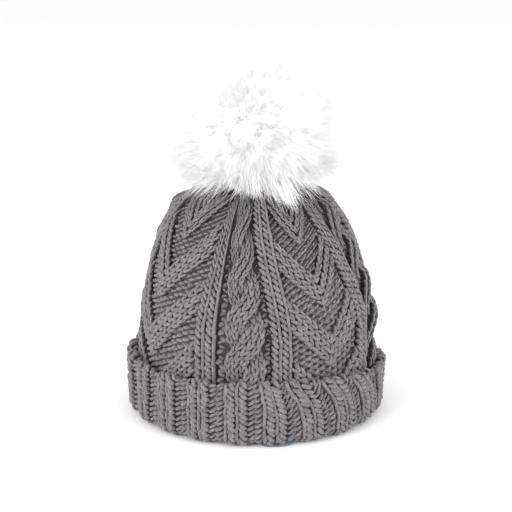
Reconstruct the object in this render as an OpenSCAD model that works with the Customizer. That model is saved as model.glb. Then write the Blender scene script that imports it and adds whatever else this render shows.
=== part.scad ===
// Pom pom beanie: a cable-knit hat with a turned-up ribbed cuff, a fleece lining
// and a faux fur pompom that snaps off. The rim stands on z = 0, the front is -Y.

/* [Crown] */
// Outer radius of the knitted crown above the cuff
crown_r = 94.5; // [90:0.5:100]
// Height of the crown above the rim
crown_h = 188; // [180:1:200]
// Height at which the wall starts to lean in
shoulder_z = 83; // [80:1:90]
// Squareness of the dome, where a higher value gives a flatter top
dome_power = 4.6; // [4:0.1:5.5]
// Thickness of the cable knit
knit_t = 5.5; // [4:0.5:5.5]

/* [Cuff] */
// Height of the turned-up cuff
cuff_h = 54; // [48:1:56]
// Thickness of the ribbed cuff
cuff_t = 9; // [8:0.5:11]
// Gap between the cuff and the crown
cuff_gap = 1.5; // [1:0.5:2.5]
// Height of the rolled fold at the rim
fold_h = 9.2; // [9.2:0.1:10]
// Number of tacks that hold the cuff up
tack_count = 4; // [2:1:8]

/* [Lining and ear band] */
// Height of the fleece ear band
band_h = 57; // [50:1:57]
// Thickness of the ear band
band_t = 2.3; // [1.5:0.1:2.3]
// Thickness of the lining
lining_t = 1.5; // [1:0.1:1.5]

/* [Care label] */
// Width of the label
label_w = 24; // [16:1:24]
// Length of the free flap of the label
label_h = 19; // [12:1:19]
// Thickness of the folded label
label_t = 0.8; // [0.5:0.1:0.8]

/* [Pompom] */
// Radius of the main ball of fur
fur_r = 52; // [46:1:56]
// Radius of the fabric ball that carries the fur
core_r = 30; // [26:1:30]
// Height of the middle of the pompom over the top of the crown
pompom_rise = 36; // [36:1:40]

/* [Snap] */
// Radius of the head of the snap stud
stud_head_r = 3.9; // [3.5:0.1:4]
// Radius of the flanges of the snap halves
snap_r = 7.5; // [7:0.5:9]
// Radius of the rivet posts
post_r = 2; // [1.5:0.1:2.2]

/* [Hidden] */
$fn = 96;
DOME_STEPS = 22;

// Colours
KNIT_GREY = [0.45, 0.43, 0.45];
YARN_GREY = [0.40, 0.38, 0.40];
SLATE_BLUE = [0.36, 0.43, 0.52];
THREAD_BLUE = [0.28, 0.34, 0.43];
STEEL = [0.72, 0.73, 0.75];
FUR_WHITE = [0.96, 0.96, 0.97];
FELT_WHITE = [0.88, 0.88, 0.88];

// Clear gap between two loose layers
gap = 0.3;

// Cuff
cuff_in_r = crown_r + cuff_gap;
cuff_out_r = cuff_in_r + cuff_t;
crown_in_r = crown_r - knit_t;
fold_corner_r = 4.4;

// Lining, band and seam, each measured inwards from the outside of the crown
seam_t = 0.7;
seam_inset = knit_t + 0.15;
lining_inset = knit_t + 1;
lining_drop = 13;
lining_low_z = 6;
lining_in_r = crown_r - lining_inset - lining_t;
band_low_z = 1;
band_out_r = lining_in_r - 0.2;
band_in_r = band_out_r - band_t;
band_top_z = band_low_z + band_h;
tip_hole_r = 1.2;
gore_gap_angle = 0.4;
hem_thread_r = 0.6;
band_thread_r = 0.5;
seam_angle = 4;
seam_stop_r = 22;

// Care label, which hangs at the back from the seam above it
label_y = lining_in_r - 1.8;
label_axis_z = band_top_z + 2.5 + label_h;
label_seam_h = 2.5;
label_seam_t = 1.2;
label_seam_angle = 16;

// Snap stack, from the inside of the crown upwards
gather_hole_r = 3;
gather_ring_r = 7;
gather_yarn_r = 1;
gather_z = crown_h - knit_t - 1.3;
patch_r = 17;
patch_t = 1.5;
patch_z = crown_h - knit_t - 4.1;
cap_r = snap_r - 1;
cap_t = 1.2;
stud_z = crown_h + 0.2;
stud_flange_t = 1;
stud_neck_r = stud_head_r - 0.6;
stud_neck_h = 1.4;
stud_head_h = 2;
stud_head_z = stud_z + stud_flange_t + stud_neck_h;
post_top_z = stud_head_z + 0.7;

socket_z = stud_z + stud_flange_t + gap;
socket_h = 4.6;
socket_bore_r = stud_head_r + 0.3;
socket_bore_h = 3.6;
groove_r = stud_head_r + 1.2;
groove_h = 1.2;
groove_z = socket_z + 0.4;
spring_wire_r = 0.45;
spring_ring_r = stud_head_r + 0.2 + spring_wire_r;

disc_r = 15;
disc_t = 1.2;
disc_z = socket_z + socket_h + gap;
socket_cap_z = disc_z + disc_t + gap;
socket_cap_t = 1;
draw_ring_r = 13.5;
draw_thread_r = 0.8;
draw_z = socket_cap_z + 1.3;

// Pompom
pompom_z = crown_h + pompom_rise;
backing_t = 1.6;
backing_low_z = draw_z + draw_thread_r + 0.2;
fur_lift = 1.5;
pocket_r = draw_ring_r + draw_thread_r + 3.2;

// The pile is a little lopsided: each ball is its offset from the middle and its radius
FUR_BALLS = [
    [[0, 0, -2], fur_r],
    [[11, 0, 7], fur_r - 5],
    [[-9, -4, -3], fur_r - 5],
    [[4, 8, 2], fur_r - 5]
];

// Point on a dome of radius r and height h, a share s of the way up
function dome_point(r, h, s) =
    let (climb = sin(90 * s))
    [r * pow(1 - climb, 1 / dome_power), shoulder_z + (h - shoulder_z) * climb];

// Half section of a solid dome, from height low_z to the top
module dome_section(r, h, low_z) {
    sides = [for (i = [0:DOME_STEPS]) dome_point(r, h, i / DOME_STEPS)];
    polygon(concat([[0, low_z], [r, low_z]], sides));
}

// Half section of a shell that lies inset inside the crown's outer surface and is t thick
module shell_section(inset, drop, t, low_z) {
    difference() {
        dome_section(crown_r - inset, crown_h - drop, low_z);
        dome_section(crown_r - inset - t, crown_h - drop - t, low_z - 1);
    }
}

// Rectangle with round corners, from one corner to the opposite one
module round_rectangle(low, high, r) {
    translate([low.x + r, low.y]) square([high.x - low.x - 2 * r, high.y - low.y]);
    translate([low.x, low.y + r]) square([high.x - low.x, high.y - low.y - 2 * r]);
    for (x = [low.x + r, high.x - r], y = [low.y + r, high.y - r])
        translate([x, y]) circle(r);
}

// Ring of yarn or thread round the Z axis
module yarn_ring(ring_r, yarn_r, z) {
    translate([0, 0, z])
        rotate_extrude() translate([ring_r, 0]) circle(yarn_r);
}

// Flat round disc with a hole for a rivet post
module felt_disc(r, t, z) {
    translate([0, 0, z]) difference() {
        cylinder(r = r, h = t);
        translate([0, 0, -1]) cylinder(r = post_r + 0.2, h = t + 2);
    }
}

// Crown of cable knit, from the top of the fold to the gathered top
module knit_crown() {
    color(KNIT_GREY) difference() {
        rotate_extrude() shell_section(0, 0, knit_t, fold_h + gap);
        translate([0, 0, crown_h - 2 * knit_t]) cylinder(r = gather_hole_r, h = 3 * knit_t);
    }
}

// Ribbed cuff, with the rolled fold that the hat stands on
module knit_cuff() {
    color(KNIT_GREY) rotate_extrude() {
        round_rectangle([cuff_in_r, 0], [cuff_out_r, cuff_h], fold_corner_r);
        round_rectangle([crown_in_r + gap, 0], [cuff_out_r, fold_h], fold_corner_r);
    }
}

// One of the four gores of the lining, whose middle faces the given angle
module lining_gore(angle) {
    color(SLATE_BLUE) difference() {
        rotate([0, 0, angle - 45 + gore_gap_angle / 2])
            rotate_extrude(angle = 90 - gore_gap_angle)
                shell_section(lining_inset, lining_drop, lining_t, lining_low_z);
        translate([0, 0, crown_h - lining_drop - 5]) cylinder(r = tip_hole_r, h = 10);
    }
}

// Fleece band round the mouth, where the head goes in
module ear_band() {
    color(SLATE_BLUE) translate([0, 0, band_low_z]) difference() {
        cylinder(r = band_out_r, h = band_h);
        translate([0, 0, -1]) cylinder(r = band_in_r, h = band_h + 2);
    }
}

// Thread of the hem that joins the band to the knit at the rim
module hem_thread() {
    color(THREAD_BLUE)
        yarn_ring((band_out_r + crown_in_r + gap) / 2, hem_thread_r, lining_low_z / 2);
}

// Row of stitches along the top of the band
module band_stitches() {
    color(THREAD_BLUE)
        yarn_ring(lining_in_r - band_thread_r - 0.1, band_thread_r, band_top_z + 2 * band_thread_r);
}

// Seam allowance inside the back of the crown, where the knitted tube is joined
module back_seam() {
    color(YARN_GREY) rotate([0, 0, 90 - seam_angle / 2]) difference() {
        rotate_extrude(angle = seam_angle)
            shell_section(seam_inset, seam_inset, seam_t, fold_h + 2);
        translate([0, 0, shoulder_z]) cylinder(r = seam_stop_r, h = crown_h);
    }
}

// Bars of yarn that hold the cuff to the crown
module cuff_tacks() {
    tack_r = 1;
    tack_z = cuff_h - 7;
    tack_in_r = crown_r - 2;
    color(YARN_GREY) for (i = [0:tack_count - 1])
        rotate([0, 0, (i + 0.5) * 360 / tack_count])
            translate([tack_in_r, 0, tack_z])
                rotate([0, 90, 0]) cylinder(r = tack_r, h = cuff_gap + 5);
}

// Yarn drawn through the last round of stitches to close the crown
module gather_yarn() {
    color(YARN_GREY) yarn_ring(gather_ring_r, gather_yarn_r, gather_z);
}

// Felt disc inside the crown, which the snap is clinched through
module crown_patch() {
    color(FELT_WHITE) felt_disc(patch_r, patch_t, patch_z);
}

// Male half of the snap, on top of the crown
module snap_stud() {
    color(STEEL) difference() {
        translate([0, 0, stud_z]) rotate_extrude() {
            square([snap_r, stud_flange_t]);
            square([stud_neck_r, stud_flange_t + stud_neck_h + stud_head_h / 2]);
            translate([0, stud_flange_t + stud_neck_h])
                round_rectangle([0, 0], [stud_head_r, stud_head_h], 0.8);
            translate([0, stud_flange_t + stud_neck_h])
                square([stud_head_r / 2, stud_head_h]);
        }
        translate([0, 0, stud_z - 1]) cylinder(r = post_r + 0.1, h = post_top_z - stud_z + 1.1);
    }
}

// Cap and rivet post that hold the stud from inside the crown
module stud_cap() {
    cap_z = patch_z - 0.2 - cap_t;
    color(STEEL) {
        translate([0, 0, cap_z]) cylinder(r = cap_r, h = cap_t);
        translate([0, 0, cap_z]) cylinder(r = post_r, h = post_top_z - cap_z);
    }
}

// Sewn strip that the care label hangs from
module label_seam() {
    color(THREAD_BLUE) rotate([0, 0, 90 - label_seam_angle / 2])
        rotate_extrude(angle = label_seam_angle)
            translate([lining_in_r - 0.1 - label_seam_t, label_axis_z + label_t / 2 + gap])
                square([label_seam_t, label_seam_h]);
}

// Free flap of the care label, which hangs from the round fold along its top edge
module care_label() {
    color(FELT_WHITE) translate([-label_w / 2, label_y, label_axis_z]) {
        translate([0, -label_t / 2, -label_h]) cube([label_w, label_t, label_h]);
        rotate([0, 90, 0]) cylinder(r = label_t / 2, h = label_w);
    }
}

// Wire ring that grips the neck of the stud
module snap_spring() {
    color(STEEL) yarn_ring(spring_ring_r, spring_wire_r, groove_z + groove_h / 2);
}

// Female half of the snap, under the pompom
module snap_socket() {
    color(STEEL) difference() {
        translate([0, 0, socket_z]) cylinder(r = snap_r, h = socket_h);
        translate([0, 0, socket_z - 1]) cylinder(r = socket_bore_r, h = socket_bore_h + 1);
        translate([0, 0, groove_z]) cylinder(r = groove_r, h = groove_h);
    }
}

// Cap that holds the socket from inside the pompom
module socket_cap() {
    color(STEEL) {
        translate([0, 0, socket_cap_z]) cylinder(r = cap_r, h = socket_cap_t);
        translate([0, 0, socket_z + socket_h])
            cylinder(r = post_r, h = socket_cap_z - socket_z - socket_h + socket_cap_t);
    }
}

// Felt disc that closes the bottom of the pompom
module base_disc() {
    color(FELT_WHITE) felt_disc(disc_r, disc_t, disc_z);
}

// Thread that gathers the edge of the fur fabric
module draw_thread() {
    color(FELT_WHITE) yarn_ring(draw_ring_r, draw_thread_r, draw_z);
}

// Part of a ball above height low_z
module open_ball(r, low_z) {
    intersection() {
        translate([0, 0, pompom_z]) sphere(r);
        translate([0, 0, low_z]) cylinder(r = r + 1, h = 2 * r + 2);
    }
}

// Knitted fabric that the fur stands on, gathered to a ball
module fur_backing() {
    color(FELT_WHITE) difference() {
        open_ball(core_r, backing_low_z);
        translate([0, 0, pompom_z]) sphere(core_r - backing_t);
    }
}

// Polyester stuffing of the ball
module stuffing() {
    color(FUR_WHITE) open_ball(core_r - backing_t - gap, backing_low_z + gap);
}

// Pile of the fur: a lopsided ball, cut away over the crown, round the core and round the snap
module fur_pile() {
    color(FUR_WHITE) difference() {
        union() for (ball = FUR_BALLS)
            translate([0, 0, pompom_z] + ball[0]) sphere(ball[1]);
        translate([0, 0, pompom_z]) sphere(core_r + gap);
        rotate_extrude() dome_section(crown_r + fur_lift, crown_h + fur_lift, 0);
        cylinder(r = pocket_r, h = pompom_z - core_r / 2);
    }
}

knit_crown();
knit_cuff();
lining_gore(270);  // lining_gore_front
lining_gore(0);  // lining_gore_right
lining_gore(90);  // lining_gore_back
lining_gore(180);  // lining_gore_left
ear_band();
hem_thread();
band_stitches();
back_seam();
cuff_tacks();
gather_yarn();
crown_patch();
snap_stud();
stud_cap();
label_seam();
care_label();
snap_spring();
snap_socket();
socket_cap();
base_disc();
draw_thread();
fur_backing();
stuffing();
fur_pile();
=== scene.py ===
"""Looks of the pom pom beanie: cable knit crown, ribbed cuff, fleece lining and fur pompom.

Shapes are worked out in millimetres and turned into metres when a mesh is made.
Angles round the hat are degrees from its front, and grow towards the wearer's left (+X).
"""

import math

import bpy
import numpy as np
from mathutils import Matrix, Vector


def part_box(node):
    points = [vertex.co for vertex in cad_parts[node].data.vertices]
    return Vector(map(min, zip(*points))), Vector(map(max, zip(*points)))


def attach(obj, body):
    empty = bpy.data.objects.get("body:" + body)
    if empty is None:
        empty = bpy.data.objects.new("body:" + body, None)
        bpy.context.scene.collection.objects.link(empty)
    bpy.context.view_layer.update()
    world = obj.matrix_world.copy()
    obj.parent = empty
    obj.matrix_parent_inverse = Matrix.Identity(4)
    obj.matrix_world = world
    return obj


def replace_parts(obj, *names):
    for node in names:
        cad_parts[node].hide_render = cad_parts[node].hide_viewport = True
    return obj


MM = 0.001

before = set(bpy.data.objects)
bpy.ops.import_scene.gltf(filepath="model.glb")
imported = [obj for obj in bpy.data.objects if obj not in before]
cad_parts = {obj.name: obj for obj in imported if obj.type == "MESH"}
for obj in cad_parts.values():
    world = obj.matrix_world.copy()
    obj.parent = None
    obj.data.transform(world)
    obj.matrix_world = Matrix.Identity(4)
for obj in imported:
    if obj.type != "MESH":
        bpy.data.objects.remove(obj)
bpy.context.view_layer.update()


def node_box(node):
    """Lowest and highest corner of a CAD node, in millimetres."""
    low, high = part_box(node)
    return np.array(low) / MM, np.array(high) / MM


# ---- sizes

CROWN_R = node_box("knit_crown")[1][0]
CROWN_H = node_box("knit_crown")[1][2]
SHOULDER_Z = 83.0
DOME_POWER = 4.6
CUFF_OUT_R = node_box("knit_cuff")[1][0]
CUFF_H = node_box("knit_cuff")[1][2]
CUFF_IN_R = CUFF_OUT_R - 9.0
FOLD_IN_R = 89.3
FOLD_LIFT = 1.0
BAND_LOW, BAND_HIGH = node_box("ear_band")
BAND_OUT_R = BAND_HIGH[0]
BAND_IN_R = BAND_OUT_R - 2.3
POMPOM_Z = CROWN_H + 36.0
CORE_R = 30.0

# Knit, where a row is one stitch high and a wale is one stitch wide
KNIT_LOW_Z = 36.0
YARN_INSET = 2.6
CUFF_YARN_INSET = 2.2
CROWN_ROW = 5.0
CUFF_ROW = 4.3
ROW_STEP = 0.25
GATHER_R = 7.0
GROUND_SINK = 2.4
CROWN_WEB_SINK, CUFF_WEB_SINK = 3.4, 2.0

# Points along one length of yarn, and round it
STEPS = 9
SIDES = 8

rng = np.random.default_rng(7)


# ---- small maths

def smoothstep(x):
    """0 below 0, 1 above 1 and a smooth rise between."""
    x = np.clip(x, 0, 1)
    return x * x * (3 - 2 * x)


def unit(v):
    """Vectors along the last axis, scaled to length 1."""
    return v / np.maximum(np.linalg.norm(v, axis=-1, keepdims=True), 1e-9)


def around(turn, r, z):
    """Points round the hat's axis, from turns in radians."""
    return np.stack(np.broadcast_arrays(r * np.sin(turn), -r * np.cos(turn), z), axis=-1)


def full_turn(count):
    """Even steps round a whole turn, in radians."""
    return np.linspace(0, 2 * math.pi, count, endpoint=False)


def near_front(angle):
    """The same angle in degrees, between -180 and 180."""
    return (angle + 180) % 360 - 180


class Meridian:
    """A turned surface, measured in millimetres along its section."""

    def __init__(self, r, z):
        self.r, self.z = np.asarray(r, float), np.asarray(z, float)
        steps = np.hypot(np.diff(self.r), np.diff(self.z))
        self.arc = np.concatenate([[0.0], np.cumsum(steps)])
        self.normal_r = np.gradient(self.z, self.arc)
        self.normal_z = -np.gradient(self.r, self.arc)
        self.length = self.arc[-1]

    def at(self, values, arc):
        """One of the section's values at places along it."""
        return np.interp(arc, self.arc, values)

    def radius(self, arc):
        return self.at(self.r, arc)

    def point(self, angle, arc, height):
        """Point height millimetres out from the surface."""
        r = self.radius(arc) + height * self.at(self.normal_r, arc)
        z = self.at(self.z, arc) + height * self.at(self.normal_z, arc)
        return around(np.radians(angle), r, z)

    def normal(self, angle, arc):
        """Direction straight out of the surface."""
        return unit(around(np.radians(angle), self.at(self.normal_r, arc), self.at(self.normal_z, arc)))


def dome_z(r, radius, top):
    """Height of the dome at distance r from the axis."""
    return SHOULDER_Z + (top - SHOULDER_Z) * (1 - np.clip(r / radius, 0, 1) ** DOME_POWER)


def dome_meridian(radius, top, low_z, stop_r):
    """Straight wall from low_z to the shoulder, then the dome up to a hole of radius stop_r."""
    wall = np.linspace(low_z, SHOULDER_Z, 40, endpoint=False)
    r = np.linspace(radius, stop_r, 300)
    heights = np.concatenate([wall, dome_z(r, radius, top)])
    return Meridian(np.concatenate([np.full(len(wall), radius), r]), heights)


def arc_points(centre, radius, start, end, count=10):
    """Points on a round corner, with the angles in degrees in the plane of r and z."""
    turn = np.radians(np.linspace(start, end, count))
    return [(centre[0] + radius * math.cos(t), centre[1] + radius * math.sin(t)) for t in turn]


def cuff_meridian():
    """From inside the mouth, round the fold, up the outside and over the top edge."""
    inset, bend, corner = CUFF_YARN_INSET, 4.0, 6.5
    base_z = inset + FOLD_LIFT
    out_r, in_r = CUFF_OUT_R - inset, CUFF_IN_R + inset
    fold_r = FOLD_IN_R + inset
    top_r = (out_r - in_r) / 2
    points = [(fold_r, 9.0), (fold_r, 8.0)]
    points += arc_points((fold_r + bend, base_z + bend), bend, 180, 270)
    points += arc_points((out_r - corner, base_z + corner), corner, 270, 360)
    points += [(out_r, z) for z in np.linspace(14, CUFF_H - 9, 12)]
    points += arc_points((out_r - top_r, CUFF_H - inset - top_r), top_r, 0, 180, 14)
    points += [(in_r, CUFF_H - 14.0)]
    r, z = zip(*points)
    return Meridian(r, z)


CROWN = dome_meridian(CROWN_R - YARN_INSET, CROWN_H - YARN_INSET, KNIT_LOW_Z, GATHER_R)
CUFF = cuff_meridian()
CROWN_ROWS = int(CROWN.length / CROWN_ROW)


# ---- meshes

def make_mesh(name, points, faces):
    """Smooth object from points in millimetres and an array of quads."""
    mesh = bpy.data.meshes.new(name)
    mesh.vertices.add(len(points))
    mesh.vertices.foreach_set("co", (points * MM).astype(np.float32).ravel())
    mesh.loops.add(faces.size)
    mesh.loops.foreach_set("vertex_index", faces.astype(np.int32).ravel())
    mesh.polygons.add(len(faces))
    mesh.polygons.foreach_set("loop_start", np.arange(0, faces.size, faces.shape[1], dtype=np.int32))
    mesh.update(calc_edges=True)
    mesh.validate()
    mesh.shade_smooth()
    piece = bpy.data.objects.new(name, mesh)
    bpy.context.collection.objects.link(piece)
    return piece


def set_uv(piece, layer, u, v):
    """UV layer with one value for each corner of each face."""
    uv = np.stack([u.ravel(), v.ravel()], axis=1).astype(np.float32)
    layers = piece.data.uv_layers
    (layers.get(layer) or layers.new(name=layer)).data.foreach_set("uv", uv.ravel())


def tube_faces(count, steps, sides):
    """Quads of count tubes, each a row of steps rings, as (tube, ring, side) corners."""
    tube, ring, side = np.meshgrid(np.arange(count), np.arange(steps - 1), np.arange(sides), indexing="ij")
    here = tube * steps * sides + ring * sides
    there = here + sides
    after = (side + 1) % sides
    return np.stack([here + side, there + side, there + after, here + after], axis=-1)


def cap_faces(count, steps, sides):
    """Flat quads that close both ends of each tube."""
    strip = np.array([[i, i + 1, sides - 2 - i, sides - 1 - i] for i in range(sides // 2 - 1)])
    base = (np.arange(count) * steps * sides)[:, None, None]
    start = base + strip[None]
    end = base + (steps - 1) * sides + strip[None, :, ::-1]
    return np.concatenate([start, end], axis=1)


def ring_corners(values, sides):
    """A value for each ring of each tube, spread over the corners of tube_faces."""
    shape = (values.shape[0], values.shape[1] - 1, sides)
    low = np.broadcast_to(values[:, :-1, None], shape)
    high = np.broadcast_to(values[:, 1:, None], shape)
    return np.stack([low, high, high, low], axis=-1)


def ring_shares(count, steps, sides):
    """How far along its tube each corner of tube_faces is, from 0 to 1."""
    return ring_corners(np.broadcast_to(np.arange(steps) / (steps - 1), (count, steps)), sides)


def map_tubes(piece, paths, sides):
    """UV layers: yarn holds turns and millimetres, and OFBake has a cell for each tube."""
    count, steps = paths.shape[:2]
    hops = np.linalg.norm(np.diff(paths, axis=1), axis=-1)
    length = np.concatenate([np.zeros((count, 1)), np.cumsum(hops, axis=1)], axis=1)
    side = np.broadcast_to(np.arange(sides), (count, steps - 1, sides))
    u = np.stack([side, side, side + 1, side + 1], axis=-1) / sides
    v = ring_corners(length, sides) + rng.uniform(0, 40, (count, 1, 1, 1))
    columns = math.ceil(math.sqrt(count))
    rows = math.ceil(count / columns)
    number = np.arange(count)[:, None, None, None]
    bake_u = (number % columns + 0.05 + 0.9 * u) / columns
    bake_v = (number // columns + 0.05 + 0.9 * ring_shares(count, steps, sides)) / rows
    cap = np.repeat(np.arange(count), (len(piece.data.loops) - u.size) // count)
    set_uv(piece, "yarn", np.append(u, 0.5 + 0 * cap), np.append(v, 0.0 * cap))
    cap_u, cap_v = (cap % columns + 0.5) / columns, (cap // columns + 0.5) / rows
    set_uv(piece, "OFBake", np.append(bake_u, cap_u), np.append(bake_v, cap_v))


def make_tubes(name, paths, ups, radii, sides=SIDES, closed=True, flatness=1.0):
    """Tubes along paths (tube, step, xyz), which lie flat towards ups."""
    count, steps = paths.shape[:2]
    tangent = unit(np.gradient(paths, axis=1))
    across = unit(np.cross(tangent, ups))
    up = flatness * np.cross(across, tangent)
    turn = np.arange(sides) * 2 * math.pi / sides
    ring = across[:, :, None] * np.cos(turn)[:, None] + up[:, :, None] * np.sin(turn)[:, None]
    points = paths[:, :, None] + np.broadcast_to(radii, (count, steps))[:, :, None, None] * ring
    faces = tube_faces(count, steps, sides).reshape(-1, 4)
    if closed:
        faces = np.concatenate([faces, cap_faces(count, steps, sides).reshape(-1, 4)])
    piece = make_mesh(name, points.reshape(-1, 3), faces)
    map_tubes(piece, paths, sides)
    return piece


def grid_faces(rows, columns, wrap=False, ring=False):
    """Quads of a grid of points (row, column), whose columns (wrap) and rows (ring) may close."""
    last_column = columns if wrap else columns - 1
    last_row = rows if ring else rows - 1
    row, column = np.meshgrid(np.arange(last_row), np.arange(last_column), indexing="ij")
    here, above = row * columns, (row + 1) % rows * columns
    after = (column + 1) % columns
    return np.stack([here + column, here + after, above + after, above + column], axis=-1).reshape(-1, 4)


def make_grid(name, points, wrap=False, ring=False):
    """Surface from a grid of points (row, column, xyz)."""
    rows, columns = points.shape[:2]
    return make_mesh(name, points.reshape(-1, 3), grid_faces(rows, columns, wrap, ring))


def make_shell(name, outer, inner):
    """Closed thin shell between two grids of points of one size."""
    rows, columns = outer.shape[:2]
    count = rows * columns
    face = grid_faces(rows, columns)
    number = np.arange(count).reshape(rows, columns)
    rim = np.concatenate([number[0, :-1], number[:-1, -1], number[-1, :0:-1], number[:0:-1, 0]])
    after = np.roll(rim, -1)
    edge = np.stack([after, rim, rim + count, after + count], axis=-1)
    points = np.concatenate([outer.reshape(-1, 3), inner.reshape(-1, 3)])
    return make_mesh(name, points, np.concatenate([face, face[:, ::-1] + count, edge]))


def mesh_area(piece):
    """Area of a mesh in square metres."""
    areas = np.zeros(len(piece.data.polygons), np.float32)
    piece.data.polygons.foreach_get("area", areas)
    return float(areas.sum())


# ---- materials

def grey(value):
    """Neutral colour."""
    return (value, value, value)


class Look:
    """A node material in the making."""

    def __init__(self, name, settings):
        self.material = bpy.data.materials.new(name)
        self.material.use_nodes = True
        self.tree = self.material.node_tree
        self.shader = self.tree.nodes["Principled BSDF"]
        for socket, value in settings.items():
            self.shader.inputs[socket].default_value = value

    def node(self, kind, inputs, output=0, **fields):
        """Output of a new node, whose inputs are linked to other outputs or set to values."""
        node = self.tree.nodes.new(f"ShaderNode{kind}")
        for field, value in fields.items():
            setattr(node, field, value)
        for socket, value in inputs.items():
            if isinstance(value, bpy.types.NodeSocket):
                self.tree.links.new(value, node.inputs[socket])
            else:
                node.inputs[socket].default_value = value
        return node.outputs[output]

    def noise(self, scale, detail):
        """Noise in the object's own space."""
        place = self.node("TexCoord", {}, "Object")
        return self.node("TexNoise", {"Vector": place, "Scale": scale, "Detail": detail}, "Fac")

    def uv(self, layer):
        """Both coordinates of a UV layer."""
        place = self.node("UVMap", {}, "UV", uv_map=layer)
        split = self.node("SeparateXYZ", {"Vector": place}).node
        return split.outputs["X"], split.outputs["Y"]

    def maths(self, operation, *values):
        """Result of a sum on outputs or numbers."""
        return self.node("Math", dict(enumerate(values)), operation=operation)

    def ramp(self, value, *stops):
        """Colour ramp through (place, colour) stops."""
        result = self.node("ValToRGB", {"Fac": value}, "Color")
        elements = result.node.color_ramp.elements
        for end, (place, colour) in zip(elements, (stops[0], stops[-1])):
            end.position, end.color = place, (*colour, 1)
        for place, colour in stops[1:-1]:
            elements.new(place).color = (*colour, 1)
        return result

    def product(self, colour, *shades):
        """A colour multiplied by each of the shades."""
        for shade in shades:
            inputs = {"Factor": 1.0, "A": colour, "B": shade}
            colour = self.node("Mix", inputs, "Result", data_type="RGBA", blend_type="MULTIPLY")
        return colour

    def wire(self, output, socket):
        """Links an output to a socket of the shader."""
        self.tree.links.new(output, self.shader.inputs[socket])

    def bump(self, height, distance_mm):
        """Relief from a height of 0 to 1."""
        self.wire(self.node("Bump", {"Height": height, "Distance": distance_mm * MM}, "Normal"), "Normal")


def yarn_material(name, dark, light, plies=3, twist_mm=7.0):
    """Soft plied yarn, with its twist and loose fibres, painted shade in the grooves between its plies and
    on its sides and its side towards the hat, and a painted highlight on its outer side.
    """
    look = Look(name, {
        "Roughness": 0.92, "Specular IOR Level": 0.18, "Sheen Weight": 0.25, "Sheen Roughness": 0.5,
    })
    turns, along = look.uv("yarn")
    twist = look.maths("MULTIPLY", turns, 2 * math.pi * plies)
    climb = look.maths("MULTIPLY", along, 2 * math.pi / twist_mm * plies)
    wave = look.maths("SINE", look.maths("ADD", twist, climb))
    ply = look.maths("MULTIPLY_ADD", wave, 0.5, 0.5)
    fibre = look.noise(1500, 2.0)
    colour = look.ramp(look.noise(260, 4.0), (0.3, dark), (0.7, light))
    # Painted shade in the grooves between the plies
    shade = look.ramp(ply, (0.0, grey(0.80)), (0.6, grey(1)))
    flecks = look.ramp(fibre, (0.3, grey(0.70)), (0.65, grey(1.22)))
    # Painted shade on the yarn's sides and on its side towards the hat, and a painted highlight on its
    # outer side
    outward = look.maths("SINE", look.maths("MULTIPLY", turns, 2 * math.pi))
    painted_shade_and_highlight = look.ramp(outward, (0.0, grey(0.50)), (0.5, grey(1)), (1.0, grey(1.24)))
    look.wire(look.product(colour, shade, flecks, painted_shade_and_highlight), "Base Color")
    look.bump(look.maths("ADD", look.maths("MULTIPLY", ply, 0.6), fibre), 0.5)
    return look.material


def cloth_material(name, dark, light, grain, relief_mm, roughness=0.95, sheen=0.4):
    """Fleece, felt or woven tape, with a grain of the given scale."""
    look = Look(name, {
        "Roughness": roughness, "Specular IOR Level": 0.2, "Sheen Weight": sheen, "Sheen Roughness": 0.5,
    })
    fine = look.noise(grain, 4.0)
    colour = look.ramp(fine, (0.3, dark), (0.7, light))
    shade = look.ramp(look.noise(grain / 12, 2.0), (0.35, grey(0.88)), (0.65, grey(1.05)))
    look.wire(look.product(colour, shade), "Base Color")
    look.bump(fine, relief_mm)
    return look.material


def metal_material(name, colour, roughness):
    """Plated snap metal with fine wear."""
    look = Look(name, {"Metallic": 1.0})
    wear = look.noise(900, 5.0)
    worn = tuple(0.82 * c for c in colour)
    look.wire(look.ramp(wear, (0.35, worn), (0.6, colour)), "Base Color")
    look.wire(look.maths("MULTIPLY_ADD", wear, 0.25, roughness), "Roughness")
    look.bump(wear, 0.03)
    return look.material


def fur_material(name, root, tip):
    """Long soft faux fur, painted brighter at its roots against the shade deep in the pile and a little
    greyer at its tips, with a painted glow that stands in for the light scattered in the pile.
    """
    look = Look(name, {
        "Roughness": 0.6, "Specular IOR Level": 0.3, "Sheen Weight": 0.4, "Sheen Roughness": 0.6,
        # Emission: a painted glow that stands in for the light scattered inside the pile
        "Emission Color": (1, 1, 1, 1), "Emission Strength": 0.05,
    })
    strand, along = look.uv("OFBake")
    colour = look.ramp(along, (0.6, root), (1.0, tip))
    shade = look.ramp(strand, (0.0, (0.95, 0.95, 0.96)), (1.0, grey(1)))
    look.wire(look.product(colour, shade), "Base Color")
    return look.material


GREY_DARK = (0.098, 0.091, 0.096)
GREY_LIGHT = (0.182, 0.169, 0.177)
# Darker grey for the sunken purl strips: painted shade in their recess
SHADED_RECESS_DARK = (0.080, 0.074, 0.078)
SHADED_RECESS_LIGHT = (0.155, 0.143, 0.150)
# Fur from root to tip: the roots are painted brighter, as painted light against the shade deep in the pile
WHITE_ROOT = (0.98, 0.975, 0.97)
WHITE_TIP = (0.86, 0.863, 0.867)
SLATE_DARK = (0.06, 0.085, 0.12)
SLATE_LIGHT = (0.105, 0.145, 0.20)
BAND_DARK = (0.12, 0.16, 0.21)
BAND_LIGHT = (0.20, 0.26, 0.33)

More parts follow.
